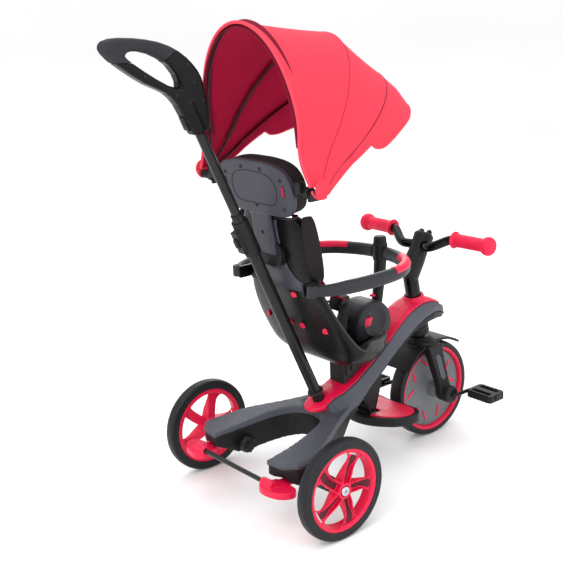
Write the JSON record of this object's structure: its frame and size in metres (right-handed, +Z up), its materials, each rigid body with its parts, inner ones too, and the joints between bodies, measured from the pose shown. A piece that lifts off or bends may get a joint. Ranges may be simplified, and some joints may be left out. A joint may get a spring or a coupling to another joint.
{
  "type": "children's push tricycle",
  "caption": "Push-along pedal tricycle for a small child, with a forked-tail frame, bucket seat, opening safety ring, folding canopy, footrest and parent push pole.",
  "frame": {"origin": "on the ground, midway along the length and width of the tricycle", "axes": "+X forwards to the front wheel, +Y to the rider's left, +Z up"},
  "size_m": [0.9576, 0.4872, 1.0186],
  "materials": {
    "red_plastic": "smooth, slightly glossy red moulding",
    "grey_plastic": "fine-grained dark blue-grey moulding",
    "black_plastic": "fine-grained black moulding",
    "gloss_black": "gloss black",
    "violet_grey_plastic": "smooth violet-grey moulding",
    "tyre_foam": "moulded black foam with shallow tread",
    "disc_grey": "mid-grey moulding",
    "red_grip_rubber": "soft red ribbed grip",
    "grip_foam": "dark grey soft foam",
    "black_steel": "gloss black paint on steel",
    "bright_steel": "bright zinc-plated steel",
    "canopy_fabric": "coral-red woven polyester",
    "pad_fabric": "dark brown-black padded fabric"
  },
  "bodies": {
    "frame": {"frame_upper_cover": "grey_plastic", "frame_lower_shell": "black_plastic", "beam_cover": "red_plastic", "head_tube": "black_plastic", "headset_bush": "bright_steel", "rear_axle_bolt_left": "bright_steel", "rear_axle_bolt_right": "bright_steel", "axle_cap_left": "black_plastic", "axle_cap_right": "black_plastic", "footrest_bracket": "black_plastic", "pole_lower_tube": "gloss_black", "pole_clamp": "black_plastic"},
    "steering": {"fork": "black_plastic", "fork_insert_left": "grey_plastic", "fork_insert_right": "grey_plastic", "hub_cap_left": "black_plastic", "hub_cap_right": "black_plastic", "steering_column": "black_steel", "handlebar_stem": "black_plastic", "handlebar": "black_steel", "grip_left": "red_grip_rubber", "grip_right": "red_grip_rubber"},
    "front_wheel": {"front_tyre": "tyre_foam", "front_rim": "red_plastic", "front_disc": "disc_grey", "pedal_crank": "black_steel"},
    "left_pedal": {"pedal_left": "black_plastic"},
    "right_pedal": {"pedal_right": "black_plastic"},
    "rear_wheel_left": {"rear_tyre_left": "tyre_foam", "rear_rim_left": "red_plastic"},
    "rear_wheel_right": {"rear_tyre_right": "tyre_foam", "rear_rim_right": "red_plastic"},
    "brake": {"brake_pedal_left": "red_plastic", "brake_pedal_right": "red_plastic", "brake_rod": "black_steel"},
    "footrest": {"footrest_tray": "black_plastic", "footrest_pad": "red_plastic"},
    "push_handle": {"pole_upper_tube": "gloss_black", "handle_loop": "gloss_black", "handle_foam": "grip_foam"},
    "handle_release": {"handle_button": "black_plastic"},
    "clamp_release": {"pole_clamp_button": "black_plastic"},
    "seat": {"seat_shell": "gloss_black", "seat_liner": "pad_fabric", "seat_pommel": "grey_plastic", "seat_slider": "black_plastic", "seat_back_cover": "black_plastic", "ring_post": "black_plastic"},
    "ring_left": {"ring_half_left": "grey_plastic"},
    "ring_right": {"ring_half_right": "grey_plastic"},
    "headrest": {"headrest_shell": "violet_grey_plastic", "headrest_cushion": "pad_fabric", "canopy_bracket_left": "black_plastic", "canopy_bracket_right": "black_plastic", "canopy_rear_bow": "black_plastic", "canopy_rear_panel": "canopy_fabric"},
    "canopy_middle": {"canopy_middle_bow": "black_plastic", "canopy_middle_panel": "canopy_fabric"},
    "canopy_front": {"canopy_front_bow": "black_plastic", "canopy_front_panel": "canopy_fabric"}
  },
  "joints": [
    {"name": "steering_turn", "type": "hinge", "parent": "frame", "child": "steering", "pos_m": [0.357, 0, 0.119], "axis": [-0.1942, 0, 0.981], "range_deg": [-20, 20]},
    {"name": "front_wheel_spin", "type": "hinge", "parent": "steering", "child": "front_wheel", "pos_m": [0.3599, 0, 0.119], "axis": [0, 1, 0], "continuous": true},
    {"name": "left_pedal_spin", "type": "hinge", "parent": "front_wheel", "child": "left_pedal", "pos_m": [0.2999, 0.129, 0.119], "axis": [0, 1, 0], "continuous": true},
    {"name": "right_pedal_spin", "type": "hinge", "parent": "front_wheel", "child": "right_pedal", "pos_m": [0.4199, -0.129, 0.119], "axis": [0, 1, 0], "continuous": true},
    {"name": "rear_left_wheel_spin", "type": "hinge", "parent": "frame", "child": "rear_wheel_left", "pos_m": [-0.147, 0.2268, 0.1075], "axis": [0, 1, 0], "continuous": true},
    {"name": "rear_right_wheel_spin", "type": "hinge", "parent": "frame", "child": "rear_wheel_right", "pos_m": [-0.147, -0.2268, 0.1075], "axis": [0, 1, 0], "continuous": true},
    {"name": "brake_press", "type": "hinge", "parent": "frame", "child": "brake", "pos_m": [-0.185, 0, 0.106], "axis": [0, -1, 0], "range_deg": [0, 9]},
    {"name": "footrest_fold", "type": "hinge", "parent": "frame", "child": "footrest", "pos_m": [0.143, 0, 0.136], "axis": [0, -1, 0], "range_deg": [0, 40]},
    {"name": "handle_slide", "type": "slide", "parent": "frame", "child": "push_handle", "axis": [-0.4067, 0, 0.9135], "range_m": [-0.14, 0]},
    {"name": "handle_button_press", "type": "slide", "parent": "push_handle", "child": "handle_release", "axis": [0.9135, 0, 0.4067], "range_m": [0, 0.003], "stiffness_N_per_m": 400},
    {"name": "clamp_button_press", "type": "slide", "parent": "frame", "child": "clamp_release", "axis": [0.9135, 0, 0.4067], "range_m": [0, 0.003], "stiffness_N_per_m": 400},
    {"name": "seat_slide", "type": "slide", "parent": "frame", "child": "seat", "axis": [0.8406, 0, 0.5417], "range_m": [0, 0.03]},
    {"name": "ring_left_open", "type": "hinge", "parent": "seat", "child": "ring_left", "pos_m": [-0.115, 0.121, 0.491], "axis": [0, 0, 1], "range_deg": [0, 75]},
    {"name": "ring_right_open", "type": "hinge", "parent": "seat", "child": "ring_right", "pos_m": [-0.115, -0.121, 0.491], "axis": [0, 0, -1], "range_deg": [0, 75]},
    {"name": "headrest_raise", "type": "slide", "parent": "seat", "child": "headrest", "axis": [-0.1736, 0, 0.9848], "range_m": [0, 0.04]},
    {"name": "canopy_middle_fold", "type": "hinge", "parent": "headrest", "child": "canopy_middle", "pos_m": [-0.142, 0, 0.7], "axis": [0, 1, 0], "range_deg": [-27, 0], "deforming": ["canopy_rear_panel"]},
    {"name": "canopy_front_fold", "type": "hinge", "parent": "canopy_middle", "child": "canopy_front", "pos_m": [-0.142, 0, 0.7], "axis": [0, 1, 0], "range_deg": [-15, 0], "deforming": ["canopy_middle_panel"]}
  ],
  "couplings": [
    {"joint": "canopy_front_fold", "follows": "canopy_middle_fold", "ratio": 0.555}
  ]
}
